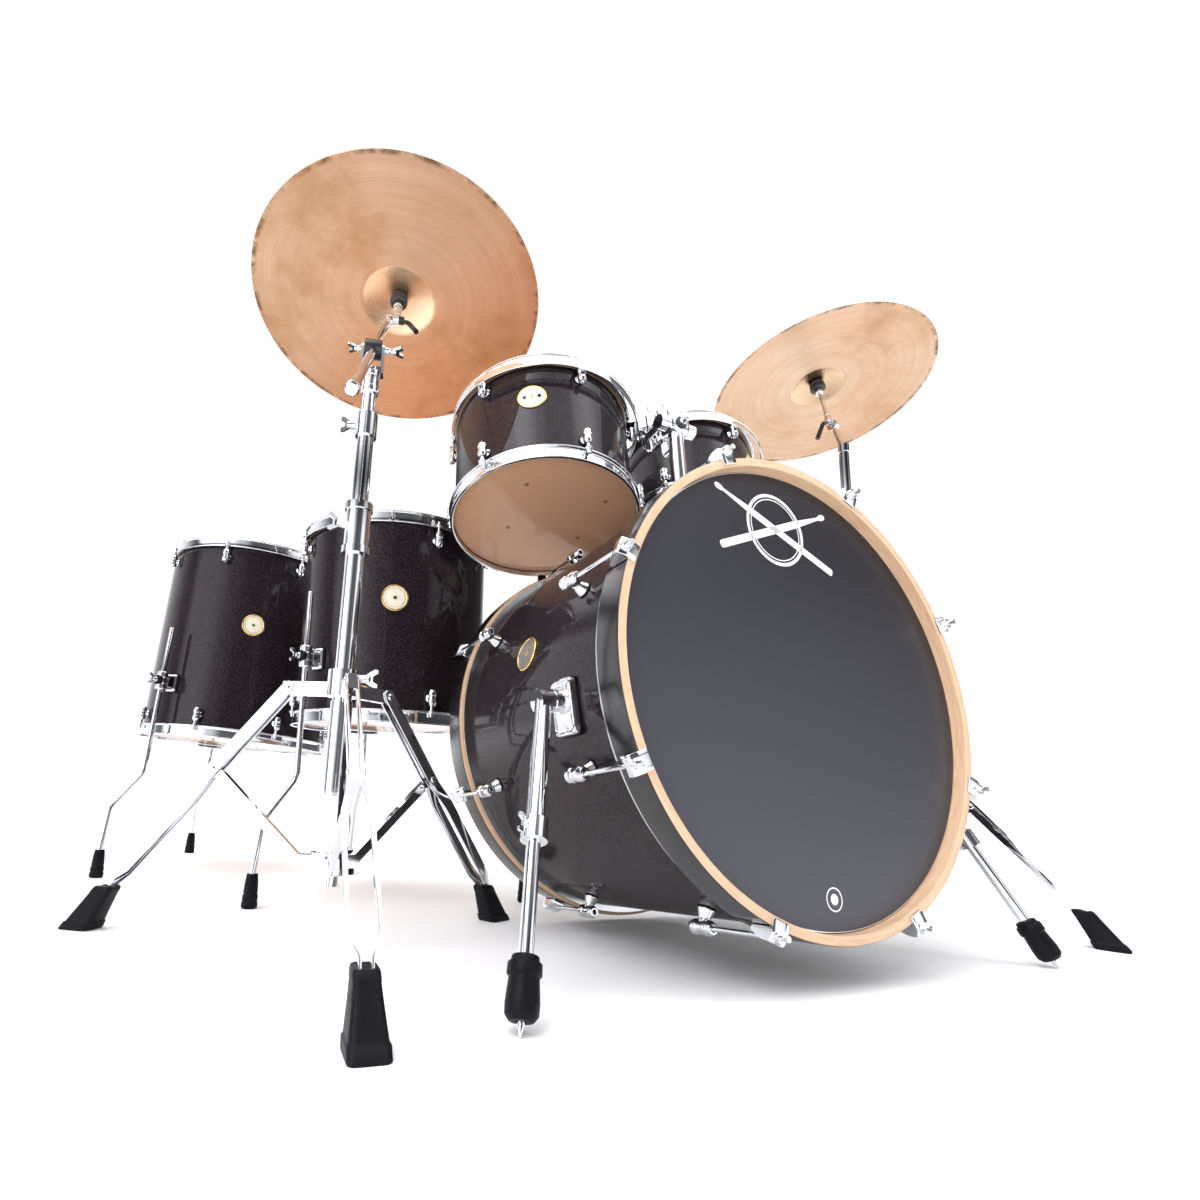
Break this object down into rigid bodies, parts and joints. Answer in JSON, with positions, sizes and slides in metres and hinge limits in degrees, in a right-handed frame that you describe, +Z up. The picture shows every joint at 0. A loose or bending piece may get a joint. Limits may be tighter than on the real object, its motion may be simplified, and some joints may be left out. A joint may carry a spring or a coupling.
{
  "type": "drum kit",
  "caption": "Acoustic drum kit with a bass drum, two rack toms, two floor toms and two cymbals on folding stands, in dark lacquer and chrome.",
  "frame": {"origin": "centre of the whole kit's outline on the floor", "axes": "+Z up, +Y towards the player behind the kit, -Y towards the audience, +X to the right as the audience sees it"},
  "size_m": [1.5708, 1.5286, 1.1885],
  "materials": {
    "shell_lacquer": "gloss",
    "hoop_wood": "satin",
    "dark_film": "gloss",
    "clear_film": "gloss",
    "badge_enamel": "satin",
    "cymbal_bronze": "satin",
    "felt": "matte",
    "rubber": "matte",
    "chrome_tube": "polished",
    "chrome": "polished"
  },
  "bodies": {
    "kit": {"bass_shell": "shell_lacquer", "bass_hoops": "hoop_wood", "bass_heads": "dark_film", "bass_claws": "chrome", "shell_lugs": "chrome", "tension_rods": "chrome", "shell_badges": "badge_enamel", "spur_brackets": "chrome", "tom_post_receiver": "chrome", "floor_tom_16_shell": "shell_lacquer", "floor_tom_14_shell": "shell_lacquer", "floor_tom_hoops": "chrome", "floor_tom_heads": "clear_film", "floor_tom_leg_brackets": "chrome", "stand_bases": "chrome_tube"},
    "left_spur_leg": {"left_spur_tube": "chrome_tube"},
    "left_spur_rod": {"left_spur_foot": "rubber"},
    "right_spur_leg": {"right_spur_tube": "chrome_tube"},
    "right_spur_rod": {"right_spur_foot": "rubber"},
    "floor_tom_16_leg_set": {"floor_tom_16_legs": "chrome"},
    "floor_tom_14_leg_set": {"floor_tom_14_legs": "chrome"},
    "tom_post_slider": {"tom_post": "chrome_tube"},
    "tom_12_arm_body": {"tom_12_arm": "chrome_tube"},
    "tom_12": {"tom_12_shell": "shell_lacquer", "tom_12_hoops": "chrome", "tom_12_heads": "clear_film", "tom_12_lugs": "chrome", "tom_12_tension_rods": "chrome", "tom_12_mount": "chrome"},
    "tom_10_arm_body": {"tom_10_arm": "chrome_tube"},
    "tom_10": {"tom_10_shell": "shell_lacquer", "tom_10_hoops": "chrome", "tom_10_heads": "clear_film", "tom_10_lugs": "chrome", "tom_10_tension_rods": "chrome", "tom_10_mount": "chrome"},
    "left_leg_hub_body": {"left_leg_hub": "chrome"},
    "left_leg_a": {"left_stand_leg_a": "chrome"},
    "left_strut_a": {"left_stand_strut_a": "chrome"},
    "left_leg_b": {"left_stand_leg_b": "chrome"},
    "left_strut_b": {"left_stand_strut_b": "chrome"},
    "left_leg_c": {"left_stand_leg_c": "chrome"},
    "left_strut_c": {"left_stand_strut_c": "chrome"},
    "right_leg_hub_body": {"right_leg_hub": "chrome"},
    "right_leg_a": {"right_stand_leg_a": "chrome"},
    "right_strut_a": {"right_stand_strut_a": "chrome"},
    "right_leg_b": {"right_stand_leg_b": "chrome"},
    "right_strut_b": {"right_stand_strut_b": "chrome"},
    "right_leg_c": {"right_stand_leg_c": "chrome"},
    "right_strut_c": {"right_stand_strut_c": "chrome"},
    "left_middle": {"left_middle_tube": "chrome_tube"},
    "left_upper": {"left_upper_tube": "chrome_tube"},
    "left_boom": {"left_boom_arm": "chrome"},
    "ride_tilter_body": {"ride_tilter": "chrome", "ride_felts": "felt"},
    "ride": {"ride_cymbal": "cymbal_bronze"},
    "right_upper": {"right_upper_tube": "chrome_tube"},
    "crash_tilter_body": {"crash_tilter": "chrome", "crash_felts": "felt"},
    "crash": {"crash_cymbal": "cymbal_bronze"}
  },
  "joints": [
    {"name": "left_spur_fold", "type": "hinge", "parent": "kit", "child": "left_spur_leg", "pos_m": [-0.3039, -0.60996, 0.29734], "axis": [0.9945, 0.0095, 0.1041], "range_deg": [0, 60]},
    {"name": "left_spur_length", "type": "slide", "parent": "left_spur_leg", "child": "left_spur_rod", "axis": [-0.2728, -0.4018, -0.8741], "range_m": [0, 0.03]},
    {"name": "right_spur_fold", "type": "hinge", "parent": "kit", "child": "right_spur_leg", "pos_m": [0.31866, -0.60996, 0.29734], "axis": [0.9945, -0.0095, -0.1041], "range_deg": [0, 60]},
    {"name": "right_spur_length", "type": "slide", "parent": "right_spur_leg", "child": "right_spur_rod", "axis": [0.2728, -0.4018, -0.8741], "range_m": [0, 0.03]},
    {"name": "floor_tom_16_leg_length", "type": "slide", "parent": "kit", "child": "floor_tom_16_leg_set", "axis": [-0.0474, -0.0054, -0.9989], "range_m": [0, 0.08]},
    {"name": "floor_tom_14_leg_length", "type": "slide", "parent": "kit", "child": "floor_tom_14_leg_set", "axis": [0.0264, 0.0145, -0.9995], "range_m": [0, 0.08]},
    {"name": "tom_post_height", "type": "slide", "parent": "kit", "child": "tom_post_slider", "axis": [0, 0.0913, 0.9958], "range_m": [0, 0.03]},
    {"name": "tom_12_tilt", "type": "hinge", "parent": "tom_post_slider", "child": "tom_12_arm_body", "pos_m": [-0.02062, -0.48066, 0.79875], "axis": [1, 0, 0], "range_deg": [-2, 3]},
    {"name": "tom_12_height", "type": "slide", "parent": "tom_12_arm_body", "child": "tom_12", "axis": [0.0736, 0.2551, 0.9641], "range_m": [-0.01, 0.02]},
    {"name": "tom_10_tilt", "type": "hinge", "parent": "tom_post_slider", "child": "tom_10_arm_body", "pos_m": [0.03538, -0.48066, 0.79875], "axis": [1, 0, 0], "range_deg": [-6, 12]},
    {"name": "tom_10_height", "type": "slide", "parent": "tom_10_arm_body", "child": "tom_10", "axis": [0.1333, 0.276, 0.9519], "range_m": [-0.01, 0.02]},
    {"name": "left_stand_fold", "type": "slide", "parent": "kit", "child": "left_leg_hub_body", "axis": [0, 0, 1], "range_m": [0, 0.08]},
    {"name": "left_leg_a_fold", "type": "hinge", "parent": "left_leg_hub_body", "child": "left_leg_a", "pos_m": [-0.49509, -0.48929, 0.314], "axis": [0.9946, -0.1037, 0], "range_deg": [0, 31.1]},
    {"name": "left_strut_a_fold", "type": "hinge", "parent": "kit", "child": "left_strut_a", "pos_m": [-0.49136, -0.45349, 0.101], "axis": [-0.9946, 0.1037, 0], "range_deg": [0, 29.1]},
    {"name": "left_leg_b_fold", "type": "hinge", "parent": "left_leg_hub_body", "child": "left_leg_b", "pos_m": [-0.41984, -0.38553, 0.314], "axis": [-0.4075, 0.9132, 0], "range_deg": [0, 31.1]},
    {"name": "left_strut_b_fold", "type": "hinge", "parent": "kit", "child": "left_strut_b", "pos_m": [-0.45272, -0.4002, 0.101], "axis": [0.4075, -0.9132, 0], "range_deg": [0, 29.1]},
    {"name": "left_leg_c_fold", "type": "hinge", "parent": "left_leg_hub_body", "child": "left_leg_c", "pos_m": [-0.54732, -0.37225, 0.314], "axis": [-0.5871, -0.8095, 0], "range_deg": [0, 31.1]},
    {"name": "left_strut_c_fold", "type": "hinge", "parent": "kit", "child": "left_strut_c", "pos_m": [-0.51818, -0.39338, 0.101], "axis": [0.5871, 0.8095, 0], "range_deg": [0, 29.1]},
    {"name": "right_stand_fold", "type": "slide", "parent": "kit", "child": "right_leg_hub_body", "axis": [0, 0, 1], "range_m": [0, 0.08]},
    {"name": "right_leg_a_fold", "type": "hinge", "parent": "right_leg_hub_body", "child": "right_leg_a", "pos_m": [0.57369, -0.46803, 0.314], "axis": [0.9397, 0.342, 0], "range_deg": [0, 31.1]},
    {"name": "right_strut_a_fold", "type": "hinge", "parent": "kit", "child": "right_strut_a", "pos_m": [0.56138, -0.4342, 0.101], "axis": [-0.9397, -0.342, 0], "range_deg": [0, 29.1]},
    {"name": "right_leg_b_fold", "type": "hinge", "parent": "right_leg_hub_body", "child": "right_leg_b", "pos_m": [0.59595, -0.3418, 0.314], "axis": [-0.766, 0.6428, 0], "range_deg": [0, 31.1]},
    {"name": "right_strut_b_fold", "type": "hinge", "parent": "kit", "child": "right_strut_b", "pos_m": [0.57281, -0.36938, 0.101], "axis": [0.766, -0.6428, 0], "range_deg": [0, 29.1]},
    {"name": "right_leg_c_fold", "type": "hinge", "parent": "right_leg_hub_body", "child": "right_leg_c", "pos_m": [0.4755, -0.38564, 0.314], "axis": [-0.1736, -0.9848, 0], "range_deg": [0, 31.1]},
    {"name": "right_strut_c_fold", "type": "hinge", "parent": "kit", "child": "right_strut_c", "pos_m": [0.51096, -0.39189, 0.101], "axis": [0.1736, 0.9848, 0], "range_deg": [0, 29.1]},
    {"name": "left_middle_height", "type": "slide", "parent": "kit", "child": "left_middle", "axis": [0, 0, 1], "range_m": [0, 0.1]},
    {"name": "left_upper_height", "type": "slide", "parent": "left_middle", "child": "left_upper", "axis": [0, 0, 1], "range_m": [0, 0.08]},
    {"name": "left_boom_tilt", "type": "hinge", "parent": "left_upper", "child": "left_boom", "pos_m": [-0.48742, -0.41569, 0.806], "axis": [-0.9405, 0.3397, 0], "range_deg": [-10, 15]},
    {"name": "ride_tilt", "type": "hinge", "parent": "left_boom", "child": "ride_tilter_body", "pos_m": [-0.40902, -0.23039, 1.0145], "axis": [0.9405, -0.3397, 0], "range_deg": [-10, 10]},
    {"name": "right_upper_height", "type": "slide", "parent": "kit", "child": "right_upper", "axis": [0, 0, 1], "range_m": [0, 0.1]},
    {"name": "crash_tilt", "type": "hinge", "parent": "right_upper", "child": "crash_tilter_body", "pos_m": [0.53438, -0.38049, 1.018], "axis": [-1, 0, 0], "range_deg": [-20, 20]},
    {"name": "ride_spin", "type": "hinge", "parent": "ride_tilter_body", "child": "ride", "pos_m": [-0.40198, -0.21286, 1.0819], "axis": [0.1006, 0.2504, 0.9629], "continuous": true},
    {"name": "crash_spin", "type": "hinge", "parent": "crash_tilter_body", "child": "crash", "pos_m": [0.53438, -0.35267, 1.13884], "axis": [0, 0.2243, 0.9745], "continuous": true}
  ],
  "couplings": [
    {"joint": "left_leg_a_fold", "follows": "left_stand_fold", "rad_per_m": 6.7541},
    {"joint": "left_strut_a_fold", "follows": "left_stand_fold", "rad_per_m": 6.3231},
    {"joint": "left_leg_b_fold", "follows": "left_stand_fold", "rad_per_m": 6.7541},
    {"joint": "left_strut_b_fold", "follows": "left_stand_fold", "rad_per_m": 6.3231},
    {"joint": "left_leg_c_fold", "follows": "left_stand_fold", "rad_per_m": 6.7541},
    {"joint": "left_strut_c_fold", "follows": "left_stand_fold", "rad_per_m": 6.3231},
    {"joint": "right_leg_a_fold", "follows": "right_stand_fold", "rad_per_m": 6.7541},
    {"joint": "right_strut_a_fold", "follows": "right_stand_fold", "rad_per_m": 6.3231},
    {"joint": "right_leg_b_fold", "follows": "right_stand_fold", "rad_per_m": 6.7541},
    {"joint": "right_strut_b_fold", "follows": "right_stand_fold", "rad_per_m": 6.3231},
    {"joint": "right_leg_c_fold", "follows": "right_stand_fold", "rad_per_m": 6.7541},
    {"joint": "right_strut_c_fold", "follows": "right_stand_fold", "rad_per_m": 6.3231}
  ]
}
